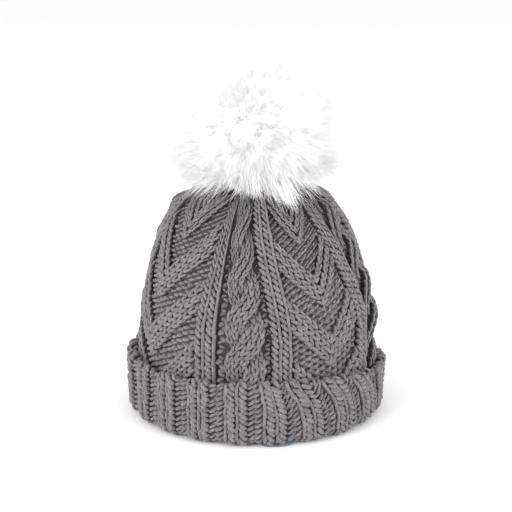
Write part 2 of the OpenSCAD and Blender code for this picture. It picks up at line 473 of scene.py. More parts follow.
knit_yarn = yarn_material("knit_yarn", GREY_DARK, GREY_LIGHT)
# A darker copy of knit_yarn: painted shade for the sunken purl strips
shaded_recess_yarn = yarn_material("shaded_recess_yarn", SHADED_RECESS_DARK, SHADED_RECESS_LIGHT)
# Near-black cloth for the webs, cores and hidden wall: painted shade in the depths of the knit
knit_shadow = cloth_material("knit_shadow", (0.032, 0.029, 0.031), (0.055, 0.051, 0.053), 900, 0.5)
fleece = cloth_material("fleece", SLATE_DARK, SLATE_LIGHT, 1100, 0.5)
band_fleece = cloth_material("band_fleece", BAND_DARK, BAND_LIGHT, 1400, 0.4)
thread = yarn_material("thread", (0.05, 0.07, 0.11), (0.10, 0.13, 0.18), 2, 1.5)
white_thread = yarn_material("white_thread", grey(0.70), grey(0.85), 2, 2.0)
felt = cloth_material("felt", (0.60, 0.60, 0.61), grey(0.80), 1000, 0.3)
label_tape = cloth_material("label_tape", (0.76, 0.76, 0.75), (0.88, 0.88, 0.87), 2600, 0.06, 0.55, 0.1)
backing_cloth = cloth_material("backing_cloth", (0.66, 0.65, 0.63), (0.82, 0.81, 0.80), 1500, 0.15)
filling = cloth_material("filling", grey(0.80), grey(0.93), 500, 0.8)
snap_steel = metal_material("snap_steel", (0.72, 0.73, 0.75), 0.22)
spring_wire = metal_material("spring_wire", (0.62, 0.62, 0.64), 0.3)
fur_white = fur_material("fur_white", WHITE_ROOT, WHITE_TIP)


def paint(piece, material):
    """Gives a piece its one material."""
    piece.data.materials.clear()
    piece.data.materials.append(material)


def dress(piece, material, body, node=None):
    """Gives a piece its material and body, and hides the CAD node that it stands for."""
    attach(piece, body)
    paint(piece, material)
    if node:
        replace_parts(piece, node)
    return piece


# ---- stitches

# Each mark is one length of yarn in a stitch: t runs from -1 at its lower end to 1 at its
# upper end. It gives the place across the wale (share of its width), the place along the
# wale (rows), the height and the yarn's radius (shares of the wale's width). The turned marks
# are those of the cuff, which shows the inside of the tube.
T = np.linspace(-1, 1, STEPS)
PLUMP_LEG = (-0.185 - 0.265 * T, 0.56 * T, 0.09 - 0.26 * T ** 4, 0.205 * (1 - 0.40 * T ** 4))
STRAIGHT_LEG = (0.30 + 0.02 * T, 0.74 * T, 0.04 - 0.12 * T ** 4, 0.185 * (1 - 0.25 * T ** 2))
KNIT_MARKS = [PLUMP_LEG, STRAIGHT_LEG]
LONG_LEFT_LEG = (-0.24 - 0.22 * T, 0.78 * T, 0.08 - 0.26 * T ** 4, 0.22 * (1 - 0.45 * T ** 4))
LONG_RIGHT_LEG = (0.24 + 0.22 * T, 0.78 * T, 0.06 - 0.26 * T ** 4, 0.215 * (1 - 0.45 * T ** 4))
LONG_MARKS = [LONG_LEFT_LEG, LONG_RIGHT_LEG]
TURNED_PLUMP_LEG = (0.185 - 0.265 * T, 0.56 * T, 0.09 - 0.26 * T ** 4, 0.205 * (1 - 0.40 * T ** 4))
TURNED_STRAIGHT_LEG = (-0.30 + 0.02 * T, 0.74 * T, 0.02 - 0.12 * T ** 4, 0.165 * (1 - 0.25 * T ** 2))
TURNED_KNIT_MARKS = [TURNED_PLUMP_LEG, TURNED_STRAIGHT_LEG]
PURL_BAR = (0.47 * T, 0.20 * T, 0.08 - 0.34 * T ** 2, 0.235 * (1 - 0.35 * T ** 4))
PURL_LINK = (0.5 + 0.46 * T, 0.5 + 0.10 * T, -0.16 - 0.30 * T ** 2, 0.20 * (1 - 0.35 * T ** 4))
PURL_MARKS = [PURL_BAR, PURL_LINK]
KNOT_LEFT = (-0.10 + 0.34 * T, 0.18 * T - 0.20 * T ** 2, 0.06 - 0.26 * T ** 2, 0.25 * (1 - 0.30 * T ** 4))
KNOT_RIGHT = (0.12 + 0.32 * T, 0.7 - 0.20 * T - 0.16 * T ** 2, -0.26 * T ** 2, 0.225 * (1 - 0.30 * T ** 4))
KNOT_MARKS = [KNOT_LEFT, KNOT_RIGHT]
SLANT_BAR = (0.50 * T, 0.40 * T, 0.08 - 0.34 * T ** 2, 0.21 * (1 - 0.35 * T ** 4))
SLANT_LINK = (0.5 + 0.44 * T, 0.5 + 0.34 * T, -0.14 - 0.30 * T ** 2, 0.19 * (1 - 0.35 * T ** 4))
SLANT_MARKS = [SLANT_BAR, SLANT_LINK]

# Points along a core, which is flat, dark with painted shade, and fills the room under raised stitches
CORE_POINTS = 120


class Line:
    """The middle of a wale: points, outward normals and widths at even steps of rows."""

    def __init__(self, rows, points, normals, widths):
        self.rows = rows
        tangents = unit(np.gradient(points, axis=0))
        sides = unit(np.cross(tangents, normals))
        self.table = np.concatenate([points, sides, np.cross(sides, tangents), widths[:, None]], axis=1)

    def at(self, rows):
        """Point, side, normal and width at each of the rows."""
        values = np.stack([np.interp(rows, self.rows, column) for column in self.table.T], axis=-1)
        return values[..., 0:3], values[..., 3:6], values[..., 6:9], values[..., 9]


class Yarns:
    """Lengths of yarn, or the flat cores under them, that become one piece."""

    def __init__(self, flatness=1.0):
        self.flatness = flatness
        self.paths, self.ups, self.radii = [], [], []

    def add(self, paths, ups, radii):
        self.paths.append(paths)
        self.ups.append(ups)
        self.radii.append(radii)

    def knit(self, line, rows, marks, jitter=1.0, thick=1.0):
        """Works one wale along a line, with a stitch at each of the rows."""
        each = (len(rows), 1)
        for across, along, height, radius in marks:
            slip = rng.normal(0, 0.035 * jitter, each)
            shift = rng.normal(0, 0.03 * jitter, each)
            lift = rng.normal(0, 0.02 * jitter, each)
            fat = thick * (1 + rng.normal(0, 0.06 * jitter, each))
            centre, side, normal, width = line.at(rows[:, None] + along + slip)
            wide = width[..., None]
            offset = (across + shift)[..., None] * wide * side + (height + lift)[..., None] * wide * normal
            self.add(centre + offset, normal, radius * fat * width)

    def fill(self, line, half_width):
        """Lays one core along a line, in the room under raised stitches."""
        rows = np.linspace(line.rows[0], line.rows[-1], CORE_POINTS)
        centre, _, normal, width = line.at(rows)
        radii = np.interp(rows, line.rows, half_width + 0 * line.rows) * width
        self.add(centre[None], normal[None], radii[None])

    def make(self, name, material=knit_yarn):
        """The piece that they become."""
        paths, ups, radii = [np.concatenate(parts) for parts in (self.paths, self.ups, self.radii)]
        return dress(make_tubes(name, paths, ups, radii, flatness=self.flatness), material, "hat")


# ---- crown chart

# Panels of one repeat, from left to right: kind, width in degrees on the wall, and width in
# degrees where the front repeat meets the gather
REPEAT = (
    ("rib", 11.2, 5.7),
    ("purl", 4.7, 1.3),
    ("cable", 18.6, 11.8),
    ("purl", 3.6, 1.3),
    ("rib", 9.7, 10.9),
)
WIDE_PANELS = (42.2, 36.4, 31.2, 59.0)
WIDE_TOP = 32.0
WALL_START, TOP_START = -30.5, -22.0
GATHER_FROM, GATHER_TO = 45.0, 150.0
PER_REPEAT = len(REPEAT) + 1
BACK_PURL_PANEL = 2 * PER_REPEAT + 3
PANELS = [panel for width in WIDE_PANELS for panel in (*REPEAT, ("wide", width, WIDE_TOP))]

front_top = sum(panel[2] for panel in PANELS[:PER_REPEAT])
side_stretch = (360 - front_top) / (len(WIDE_PANELS) - 1) / front_top
top_widths = [panel[2] * (1 if i < PER_REPEAT else side_stretch) for i, panel in enumerate(PANELS)]
wall_edges = WALL_START + np.concatenate([[0], np.cumsum([panel[1] for panel in PANELS])])
top_edges = TOP_START + np.concatenate([[0], np.cumsum(top_widths)])


def panels_of(kind):
    """Numbers of the panels of one kind, in their order round the hat."""
    return [number for number, panel in enumerate(PANELS) if panel[0] == kind]


def panel_edges(panel, arc):
    """Angles of a panel's two edges at places along the section."""
    w = smoothstep((arc - GATHER_FROM) / (GATHER_TO - GATHER_FROM))
    left = wall_edges[panel] * (1 - w) + top_edges[panel] * w
    right = wall_edges[panel + 1] * (1 - w) + top_edges[panel + 1] * w
    return left, right


def lumps(angle, arc):
    """Soft unevenness of a hand-filled hat, in millimetres."""
    a = np.radians(angle)
    return 0.9 + 0.5 * np.sin(3 * a + arc / 31 + 0.6) + 0.4 * np.sin(5 * a - arc / 23 + 2.0)


def flatter(arc):
    """1 on the wall and 0 at the gather, where raised stitches lie flat."""
    return smoothstep((CROWN.length - arc - 8) / 48)


def wall_width(panel):
    """Width of a panel on the wall, in millimetres."""
    return math.radians(PANELS[panel][1]) * (CROWN_R - YARN_INSET)


def panel_line(panel, share, rows, height, wales):
    """Line up a panel that is wales wide, at a share of its width (0 to 1)."""
    arc = rows * CROWN_ROW
    left, right = panel_edges(panel, arc)
    angle = left + (right - left) * share
    width = np.radians(right - left) * CROWN.radius(arc) / wales
    points = CROWN.point(angle, arc, height + lumps(angle, arc))
    return Line(rows, points, CROWN.normal(angle, arc), width)


def curved_line(panel, x, y, height, wale_width):
    """Line through chart points x, y in millimetres, x from the panel's middle."""
    nominal = wall_width(panel)
    steps = np.concatenate([[0], np.cumsum(np.hypot(np.diff(x), np.diff(y)))]) / CROWN_ROW
    arc = np.clip(y, 0, CROWN.length)
    left, right = panel_edges(panel, arc)
    angle = (left + right) / 2 + (right - left) * x / nominal
    shrink = np.radians(right - left) * CROWN.radius(arc) / nominal
    points = CROWN.point(angle, arc, height + lumps(angle, arc))
    return Line(steps, points, CROWN.normal(angle, arc), wale_width * shrink)


ALL_ROWS = np.arange(0, CROWN_ROWS + 1, ROW_STEP)
EACH_ROW = np.arange(0, CROWN_ROWS)


def knit_ribs():
    """Ribs of two wales each."""
    ribs = Yarns()
    for panel in panels_of("rib"):
        for share in (0.25, 0.75):
            line = panel_line(panel, share, ALL_ROWS, 0.3, 2)
            ribs.knit(line, EACH_ROW + 0.5 * (share > 0.5), KNIT_MARKS)
    return ribs.make("rib_stitches")


# Rows from one stitch to the next
KNOT_ROWS = 1.5
LONG_STITCH = 1.3


def knit_purl_strips():
    """Sunken purl columns between the ribs and the cables, in a darker yarn that paints the shade of their
    recess.
    """
    purls = Yarns()
    for panel in panels_of("purl"):
        line = panel_line(panel, 0.5, ALL_ROWS, -GROUND_SINK, 1)
        purls.knit(line, np.arange(0, CROWN_ROWS, KNOT_ROWS), KNOT_MARKS, jitter=3.2)
    return purls.make("purl_strips", shaded_recess_yarn)


# Cables: rows between crossings, the strands' swing and their wales' spacing in wales, the row
# of the first crossing, and how high and low a strand passes over and under the other
CABLE_WALES = 6
CABLE_SPAN = 6.25
CABLE_SWING = 1.6
CABLE_SPREAD = 1.08
FIRST_CROSSING = (77 - KNIT_LOW_Z) / CROWN_ROW
OVER, UNDER = 4.2, -2.8
CABLE_CORE_SINK = 1.7
CABLE_CORE_HALF_WIDTHS = (0.85, 1.25)


def knit_cable(panel, name, cores):
    """A rope of two strands, three wales each, that cross once in CABLE_SPAN rows."""
    cable = Yarns()
    wale = wall_width(panel) / CABLE_WALES
    rows = np.arange(0, CROWN_ROWS, ROW_STEP)
    y = rows * CROWN_ROW
    for strand in (0, 1):
        phase = math.pi * ((rows - FIRST_CROSSING) / CABLE_SPAN + 0.5 + strand)
        swing, rise = np.cos(phase), np.sin(phase)
        x = -CABLE_SWING * wale * swing * (1.25 - 0.25 * swing ** 2)
        lift = np.where(rise > 0, OVER, -UNDER) * rise * flatter(y)
        slope = np.gradient(x, y)
        stretch = np.sqrt(1 + slope ** 2)
        core = curved_line(panel, x, y, 0.55 * lift - CABLE_CORE_SINK, wale)
        cores.fill(core, np.interp(lift, [UNDER, 0], CABLE_CORE_HALF_WIDTHS))
        for place in (-1, 0, 1):
            wale_x = x + CABLE_SPREAD * place * wale / stretch
            wale_y = y - CABLE_SPREAD * place * wale * slope / stretch
            line = curved_line(panel, wale_x, wale_y, lift + 0.4 - 1.4 * place ** 2, wale)
            stitches = np.arange(0.5, line.rows[-1] - 0.5, LONG_STITCH)
            cable.knit(line, stitches, LONG_MARKS, jitter=1.3, thick=1.2)
    return cable.make(name)


# Diagonal bands of the wide panels: the row of each band's lowest point
BAND_STARTS = (-5.6, 4.1, 13.7, 23.4)
BAND_WALES = 3
BAND_WALE_MM = 6.1
BAND_MIDDLE = (BAND_WALES - 1) / 2
BAND_SLOPE = 1.0
BAND_LIFT = 1.7
FEWEST_BAND_POINTS = 12
BAND_CORE_SINK, BAND_CORE_FLOOR = 3.2, -3.0
BAND_CORE_HALF_WIDTH = 1.5


def band_rise(panel):
    """Rows that a band climbs from the panel's middle to its edges."""
    return BAND_SLOPE * wall_width(panel) / 2 / CROWN_ROW


def knit_bands(panel, name, cores):
    """Bands of three wales that climb from the panel's middle to the ribs on both sides."""
    bands = Yarns()
    nominal = wall_width(panel)
    stretch = math.sqrt(1 + BAND_SLOPE ** 2)
    reach = np.linspace(0, 1.6, 240) * nominal / 2
    for start in BAND_STARTS:
        for wale in range(BAND_WALES):
            up = (wale + 0.5) * BAND_WALE_MM
            bulge = 1 - ((wale + 0.5) / BAND_WALES * 2 - 1) ** 2
            x = reach - up * BAND_SLOPE / stretch
            y = start * CROWN_ROW + reach * BAND_SLOPE + up / stretch
            inside = (x > -1.0) & (x < nominal * 0.52) & (y > 0)
            if inside.sum() < FEWEST_BAND_POINTS:
                continue
            x, y = x[inside], y[inside]
            edge = smoothstep((x / nominal - 0.45) / 0.06)
            raised = (GROUND_SINK + BAND_LIFT * flatter(y)) * (0.5 + 0.5 * bulge) * (1 - edge)
            height = raised - GROUND_SINK
            for side in (-1, 1):
                if wale == BAND_MIDDLE:
                    depth = np.maximum(height - BAND_CORE_SINK, BAND_CORE_FLOOR)
                    cores.fill(curved_line(panel, side * x, y, depth, BAND_WALE_MM), BAND_CORE_HALF_WIDTH)
                line = curved_line(panel, side * x, y, height, BAND_WALE_MM)
                stitches = np.arange(0.4, line.rows[-1] - 0.3, LONG_STITCH)
                bands.knit(line, stitches, LONG_MARKS, jitter=1.2, thick=1.12)
    return bands.make(name)


TOP_START_ROW = 32.0
TOP_CORD_DEGREES = 16.0
TOP_CORD_WALES = 3.2


def knit_panel_top(panel, name):
    """Soft cords of three wales that run up from the last band to the gather."""
    tops = Yarns()
    cords = round(top_widths[panel] / TOP_CORD_DEGREES)
    for cord in range(cords):
        middle = (cord + 0.5) / cords
        start = TOP_START_ROW + band_rise(panel) * abs(middle * 2 - 1)
        rows = np.arange(start - 3, CROWN_ROWS + 1, ROW_STEP)
        rise = smoothstep((rows - start + 3) / 6)
        for place in (-1, 0, 1):
            height = rise * (0.2 + (1.5 - 1.4 * place ** 2) * flatter(rows * CROWN_ROW)) - 1.5 * (1 - rise)
            line = panel_line(panel, middle + 0.30 * place / cords, rows, height, TOP_CORD_WALES * cords)
            stitches = np.arange(math.ceil(start) - 2, CROWN_ROWS)
            tops.knit(line, stitches, KNIT_MARKS, jitter=1.3, thick=1.15)
    return tops.make(name)


GROUND_WALE_MM = 6.2


def knit_ground(panel, name):
    """Purl ground behind the bands."""
    ground = Yarns()
    columns = round(wall_width(panel) / GROUND_WALE_MM)
    thickness = BAND_WALES * BAND_WALE_MM * math.sqrt(1 + BAND_SLOPE ** 2) / CROWN_ROW
    for column in range(columns):
        share = (column + 0.5) / columns
        rows = EACH_ROW + 0.5 * (column % 2)
        climbed = band_rise(panel) * abs(share * 2 - 1)
        shown = rows < TOP_START_ROW + climbed + 1
        for start in BAND_STARTS:
            over = rows - (start + climbed)
            shown &= ~((over > 0.8) & (over < thickness - 0.8))
        line = panel_line(panel, share, ALL_ROWS, -GROUND_SINK, columns)
        ground.knit(line, rows[shown], PURL_MARKS, jitter=1.6)
    return ground.make(name)


SEAM_WIDTH = 4.0
SEAM_STITCH = 0.8


def knit_back_seam():
    """Mattress stitches that close the crown at the back."""
    seam = Yarns()
    line = panel_line(BACK_PURL_PANEL, 0.5, ALL_ROWS, 0.2, 1)
    line.table[:, -1] = np.minimum(SEAM_WIDTH, line.table[:, -1])
    seam.knit(line, np.arange(0, CROWN_ROWS, SEAM_STITCH), KNIT_MARKS)
    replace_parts(seam.make("crown_seam_stitches"), "back_seam")


# ---- cuff

CUFF_REPEATS = 21
CUFF_ROWS = int(CUFF.length / CUFF_ROW)
CUFF_SHIFT = 3.0

# Places of the wales in one repeat, and each kind's width, height, marks and jitter
CUFF_WALES = (("knit", 0.15), ("knit", 0.45), ("purl", 0.70), ("purl", 0.90))
CUFF_KINDS = {"knit": (0.30, 0.4, TURNED_KNIT_MARKS, 1.3), "purl": (0.20, -1.2, SLANT_MARKS, 1.7)}

# How the cuff's top edge leans round (degrees), sinks on the left, on the right and everywhere,
# and flares on the left and on the right (millimetres)
LEAN = 8.0
SINK_LEFT, SINK_RIGHT, SINK_ALL = 13.0, 3.5, 1.0
FLARE_LEFT, FLARE_RIGHT = 1.5, 0.5


def cuff_lean(angle):
    """Degrees by which the top of the cuff is pushed round to the wearer's right."""
    return LEAN * smoothstep((angle + 4) / 30) * (1 - smoothstep((angle - 54) / 34))


def cuff_climb(arc):
    """0 on the fold and 1 at the top edge of the cuff."""
    return np.clip((arc - 25) / (CUFF.length - 40), 0, 1)


def cuff_wave(angle, arc):
    """Soft unevenness of the cuff's wall, in millimetres."""
    a = np.radians(angle)
    return (0.7 * np.sin(4 * a + 1.0) + 0.5 * np.sin(9 * a + 0.3)) * cuff_climb(arc)


def cuff_slump(points, angle, climb):
    """Lowers the top of the cuff, most of all on the left, and flares it at the sides."""
    side = np.sin(np.radians(angle))
    left, right = np.maximum(side, 0) ** 3, np.maximum(-side, 0) ** 3
    points[..., 2] -= (SINK_LEFT * left + SINK_RIGHT * right + SINK_ALL) * climb ** 1.5
    flare = 1 + (FLARE_LEFT * left + FLARE_RIGHT * right) / CUFF_OUT_R * climb ** 3
    points[..., :2] *= flare[..., None]
    return points


def cuff_line(angle, width_share, height):
    """Line of one wale of the cuff, from inside the mouth to the top edge."""
    rows = np.arange(0, CUFF_ROWS + 1, ROW_STEP)
    arc = rows * CUFF_ROW
    climb = cuff_climb(arc)
    angles = angle - cuff_lean(near_front(angle)) * climb ** 2
    settle = 0.45 + 0.55 * smoothstep((arc - 22) / 12)
    points = CUFF.point(angles, arc, height * settle + cuff_wave(angles, arc))
    points = cuff_slump(points, angles, climb)
    full = math.radians(360 / CUFF_REPEATS) * CUFF.radius(arc)
    return Line(rows, points, CUFF.normal(angles, arc), full * width_share)


def knit_cuff_half(kind, half, name):
    """The knit or the purl wales on one half of the cuff."""
    yarns = Yarns()
    width_share, height, marks, jitter = CUFF_KINDS[kind]
    for repeat in range(CUFF_REPEATS):
        if repeat * 2 // CUFF_REPEATS != half:
            continue
        for number, (wale_kind, place) in enumerate(CUFF_WALES):
            if wale_kind == kind:
                angle = CUFF_SHIFT + (repeat + place) * 360 / CUFF_REPEATS
                rows = np.arange(0, CUFF_ROWS) + 0.5 * (number % 2)
                yarns.knit(cuff_line(angle, width_share, height), rows, marks, jitter)
    return yarns.make(name)


# ---- webs under the stitches

WEB_COLUMNS = 240
HIDDEN_WALL_LOW_Z = 6.0
HIDDEN_WALL_OVERLAP = 4.0


def turned_web(name, meridian, sink, unevenness, shape=None, rows=140):
    """Dark inner layer of the knit, painted shade which closes the gaps between stitches."""
    angles = np.linspace(0, 360, WEB_COLUMNS, endpoint=False)
    angle, arc = np.meshgrid(angles, np.linspace(0, meridian.length, rows))
    grain = 0.15 * np.sin(np.radians(angle) * 60) * np.sin(arc * 1.2)
    points = meridian.point(angle, arc, grain - sink + unevenness(angle, arc))
    if shape:
        points = shape(points, angle, cuff_climb(arc))
    return dress(make_grid(name, points, wrap=True), knit_shadow, "hat")


def make_hidden_wall():
    """Part of the tube behind the cuff, from the fold up to the crown, dark with painted shade."""
    low_r = FOLD_IN_R + CUFF_YARN_INSET + CUFF_WEB_SINK
    high_r = CROWN_R - YARN_INSET - CROWN_WEB_SINK
    wall = Meridian([low_r, high_r], [HIDDEN_WALL_LOW_Z, KNIT_LOW_Z + HIDDEN_WALL_OVERLAP])
    return turned_web("hidden_wall", wall, 0.0, lambda angle, arc: 0 * angle, rows=12)


def declare_knit(web, meridian):
    """Works out the area of a web, capped at its widest circumference times its section's length; the
    result is not used.
    """
    width = 2 * math.pi * meridian.r.max() * MM
    length = meridian.length * MM
    area = min(mesh_area(web), width * length)


# ---- fur

# Balls that bound the pile, as centre and radius from the pompom's middle
FUR_BALLS = (
    ((0, 0, -6), 57),
    ((19, 0, 15), 50),
    ((-18, -2, -9), 54),
    ((13, 0, -8), 56),
    ((0, 8, -4), 55),
)

# Height that strands are made for, and the height that no bend may pass
FUR_TOP, FUR_LIMIT = 290.5, 293.5
POMPOM = np.array([0.0, 0.0, POMPOM_Z])
STRANDS = 42000
STRAND_R = 0.30
CLUMPS = 3000
STRAY_SHARE = 0.06
BEND, DROOP = 2.2, 4.0
CONE_FROM_R, CONE_SLOPE = 15, 0.28
TUFT_TIP = np.array([26.0, -55.0, -46.0])
FUR_STEPS, FUR_SIDES = 7, 3
FUR_PIECES = 10


def even_directions(count):
    """Directions spread evenly over a sphere."""
    number = np.arange(count) + 0.5
    z = 1 - 2 * number / count
    turn = number * math.pi * (3 - math.sqrt(5))
    flat = np.sqrt(1 - z * z)
    return np.stack([flat * np.cos(turn), flat * np.sin(turn), z], axis=-1)


def pile_radius(directions):
    """Distance from the pompom's middle to the outside of its pile."""
    reach = np.zeros(len(directions))
    for offset, radius in FUR_BALLS:
        along = directions @ np.array(offset, float)
        inside = radius ** 2 - np.dot(offset, offset) + along ** 2
        reach = np.maximum(reach, along + np.sqrt(np.maximum(inside, 0)))
    return reach


def above_crown(points, lift, limp=0.0, stiff=False):
    """Points pushed up to a floor: a cone, or for limp fur and the front tuft the crown itself."""
    r = np.hypot(points[..., 0], points[..., 1])
    front = (points @ unit(TUFT_TIP * [0.45, 1, 0])) / np.maximum(r, 1)
    near_gather = 1 - smoothstep((r - 20) / 25)
    hangs = 0 * r
    if not stiff:
        hangs = np.maximum(smoothstep((front - 0.76) / 0.18), limp ** (3 - 2 * near_gather))
    cone = CROWN_H + 1 + CONE_SLOPE * np.maximum(r - CONE_FROM_R, 0)
    dome = dome_z(r, CROWN_R, CROWN_H)
    floor = np.maximum(dome, dome * hangs + cone * (1 - hangs)) + lift * (1 - 0.7 * near_gather)
    points[..., 2] = np.maximum(points[..., 2], floor)
    return points


def clump_tips():
    """Direction and reach of each clump's tip, with the front ones drawn to the tuft."""
    ways = unit(even_directions(CLUMPS) + rng.normal(0, 0.03, (CLUMPS, 3)))
    tips = unit(ways + rng.normal(0, 0.09, (CLUMPS, 3)))
    reach = pile_radius(tips) * rng.uniform(0.96, 1.06, CLUMPS)
    low = smoothstep((-tips[:, 2] - 0.35) / 0.4)
    reach = reach * (1 + low * rng.uniform(-0.05, 0.14, CLUMPS))
    tuft = tips @ unit(TUFT_TIP) > 0.975
    tips[tuft] = unit(tips[tuft] + 2.5 * unit(TUFT_TIP))
    reach[tuft] = np.linalg.norm(TUFT_TIP) * rng.uniform(0.85, 1.02, tuft.sum())
    return ways, tips, reach


def fur_strands():
    """Roots, paths and radii of all the strands, in clumps that part and droop a little."""
    roots = unit(even_directions(STRANDS) + rng.normal(0, 0.02, (STRANDS, 3)))
    ways, tips, reach = clump_tips()
    nearest = np.argmax(roots @ ways.T, axis=1)
    tips, reach = tips[nearest], reach[nearest] * rng.uniform(0.88, 1.05, STRANDS)
    stray = rng.random(STRANDS) < STRAY_SHARE
    reach[stray] *= rng.uniform(1.03, 1.12, stray.sum())
    reach = np.minimum(reach, (FUR_TOP - POMPOM_Z) / np.maximum(tips[:, 2], 0.1))
    pull = np.where(stray, 0.2, rng.uniform(0.35, 0.85, STRANDS))[:, None, None]
    t = np.linspace(0, 1, FUR_STEPS)[None, :, None]
    way = unit(roots[:, None] * (1 - pull * t) + tips[:, None] * pull * t)
    distance = CORE_R - 1 + (reach - CORE_R)[:, None, None] * t
    bend = rng.normal(0, BEND, (STRANDS, 1, 3)) * t ** 2
    flat = np.linalg.norm(way[..., :2], axis=-1, keepdims=True)
    droop = np.concatenate([np.zeros_like(way[..., :2]), -DROOP * flat * t ** 2], axis=-1)
    lift = 3.0 + 3.0 * rng.random((STRANDS, 1)) ** 2
    limp = rng.random((STRANDS, 1))
    paths = above_crown(POMPOM + way * distance + bend + droop, lift, limp)
    paths[..., 2] = np.minimum(paths[..., 2], FUR_LIMIT)
    radii = STRAND_R * (1 - 0.87 * t[..., 0] ** 1.5) * rng.uniform(0.7, 1.15, (STRANDS, 1))
    return roots, paths, radii


def make_fur():
    """The fur in several pieces, from the top of the pompom to its bottom."""
    roots, paths, radii = fur_strands()
    ups = unit(np.cross(paths, np.array([0.3, 0.5, 0.8])) + 1e-3)
    order = np.argsort(-roots[:, 2])
    for number, part in enumerate(np.array_split(order, FUR_PIECES), 1):
        piece = make_tubes(f"fur_strands_{number}", paths[part], ups[part], radii[part], FUR_SIDES, False)
        along = ring_shares(len(part), FUR_STEPS, FUR_SIDES)
        shade = np.repeat(rng.random(len(part)), along[0].size)
        set_uv(piece, "OFBake", shade, along)
        dress(piece, fur_white, "pompom")


def make_fur_core():
    """Lumpy body of dense underfur inside the long strands."""
    rows, columns, share = 72, 144, 0.79
    tilt, turn = np.meshgrid(np.linspace(0.02, math.pi - 0.02, rows), full_turn(columns), indexing="ij")
    ways = np.stack([np.sin(tilt) * np.cos(turn), np.sin(tilt) * np.sin(turn), np.cos(tilt)], axis=-1)
    reach = pile_radius(ways.reshape(-1, 3)).reshape(rows, columns)
    tufts = np.sin(9 * turn) * np.sin(11 * tilt) + 0.6 * np.sin(17 * turn + 5 * tilt)
    points = POMPOM + ways * (reach * share + 1.1 * tufts)[..., None]
    points = above_crown(points, 1.5, stiff=True)
    piece = dress(make_grid("underfur", points[:, ::-1], wrap=True), fur_white, "pompom", "fur_pile")


# ---- lining, band and label

LINING_INSET = 6.5
LINING_T = 1.5
LINING_DROP = 13.0
LINING_HOLE_R = 1.2
GORES = (("front", 0), ("right", 90), ("back", 180), ("left", 270))
GORE_GAP = 0.4

# Where along a gore its raised seam and its folds begin, above the ear band
SEAM_FROM, FOLDS_FROM = 56, 62


def lining_wrinkles(angle, arc):
    """Soft folds of the lining, which only go inwards and fade out under the ear band."""
    a = np.radians(angle)
    folds = np.sin(6 * a + arc / 19) * np.sin(arc / 27 + 1.0) + 0.5 * np.sin(15 * a - arc / 11)
    return -(0.9 + 0.6 * folds) * smoothstep((arc - FOLDS_FROM) / 30)


def make_gore(side, angle):
    """One gore of the fleece lining, with its edges turned in to the seams."""
    radius, top = CROWN_R - LINING_INSET, CROWN_H - LINING_DROP
    section = dome_meridian(radius, top, node_box("lining_gore_front")[0][2], LINING_HOLE_R)
    half = 45 - GORE_GAP / 2
    across = np.linspace(angle - half, angle + half, 60)
    angles, arcs = np.meshgrid(across, np.linspace(0, section.length, 110))
    from_seam = (half - np.abs(angles - angle)) * np.pi / 180 * section.radius(arcs)
    seam = -1.3 * np.exp(-(from_seam / 1.6) ** 2) * smoothstep((arcs - SEAM_FROM) / 4)
    height = lining_wrinkles(angles, arcs) + seam
    outer, inner = [section.point(angles, arcs, height - depth) for depth in (0, LINING_T)]
    shell = make_shell(f"fleece_gore_{side}", outer, inner)
    gore = dress(shell, fleece, "hat", f"lining_gore_{side}")


# Stretch of the band's lower edge that slips out under the fold, in degrees
LIP_FROM, LIP_TO, LIP_BLEND = -6.0, 26.0, 13.0
LIP_R, LIP_DROP = 101.7, 1.1


def make_ear_band():
    """Thick fleece band with rolled edges, puckered along its stitching."""
    low_z, high_z = BAND_LOW[2], BAND_HIGH[2]
    corner, middle = (BAND_OUT_R - BAND_IN_R) / 2, (BAND_OUT_R + BAND_IN_R) / 2
    section = [(BAND_OUT_R, z) for z in np.linspace(high_z - 4, low_z + 4, 14)]
    section += arc_points((middle, low_z + corner), corner, 360, 180, 9)
    section += [(BAND_IN_R, z) for z in np.linspace(low_z + 4, high_z - 4, 14)]
    section += arc_points((middle, high_z - corner), corner, 180, 0, 9)
    r, z = np.array(section).T[..., None]
    turn = full_turn(260)
    inner_side = smoothstep((middle - r) / corner)
    pucker = 0.25 * np.sin(24 * turn) * np.exp(-((z - high_z + 3) / 3) ** 2)
    ease = 0.35 * np.sin(5 * turn) * np.sin(z / 13)
    near = near_front(np.degrees(turn))
    slips_out = smoothstep((near - LIP_FROM) / LIP_BLEND) * smoothstep((LIP_TO - near) / LIP_BLEND)
    lip = slips_out * (1 - smoothstep((z - low_z) / 2.6))
    radius = r + (pucker + ease - 0.2) * inner_side + (LIP_R - BAND_OUT_R) * lip
    points = around(turn, radius, z - LIP_DROP * lip)
    ring = make_grid("fleece_band", points[::-1], wrap=True, ring=True)
    band = dress(ring, band_fleece, "hat", "ear_band")


UP = (0.0, 0.0, 1.0)


def make_whip_stitches():
    """Slanted stitches that hold the band's lower edge to the fold."""
    count = 110
    t = np.linspace(0, 1, 7)
    angle = np.arange(count)[:, None] * 360 / count + 2.2 * t
    heights = 1.6 + 2.2 * t - 1.4 * np.sin(math.pi * t)
    paths = around(np.radians(angle), BAND_OUT_R - 0.6 + 4.2 * t, heights)
    stitches = make_tubes("hem_whip_stitches", paths, (0.0, 0.0, -1.0), 0.35)
    dress(stitches, thread, "hat", "hem_thread")


def make_zigzag():
    """Zigzag stitches along the band's upper edge."""
    count = 130
    start = np.arange(count)[:, None] * 360 / count
    t = np.linspace(-0.06, 1.06, 9)
    rise = 1 - np.abs(2 * t - 1)
    turn = np.radians(start + t * 360 / count)
    paths = around(turn, BAND_IN_R - 0.1 + 2.0 * rise, BAND_HIGH[2] - 2.6 + 4.2 * rise)
    inward = around(np.radians(start), -1.0, 0.0)
    dress(make_tubes("band_zigzag", paths, inward, 0.3), thread, "hat", "band_stitches")


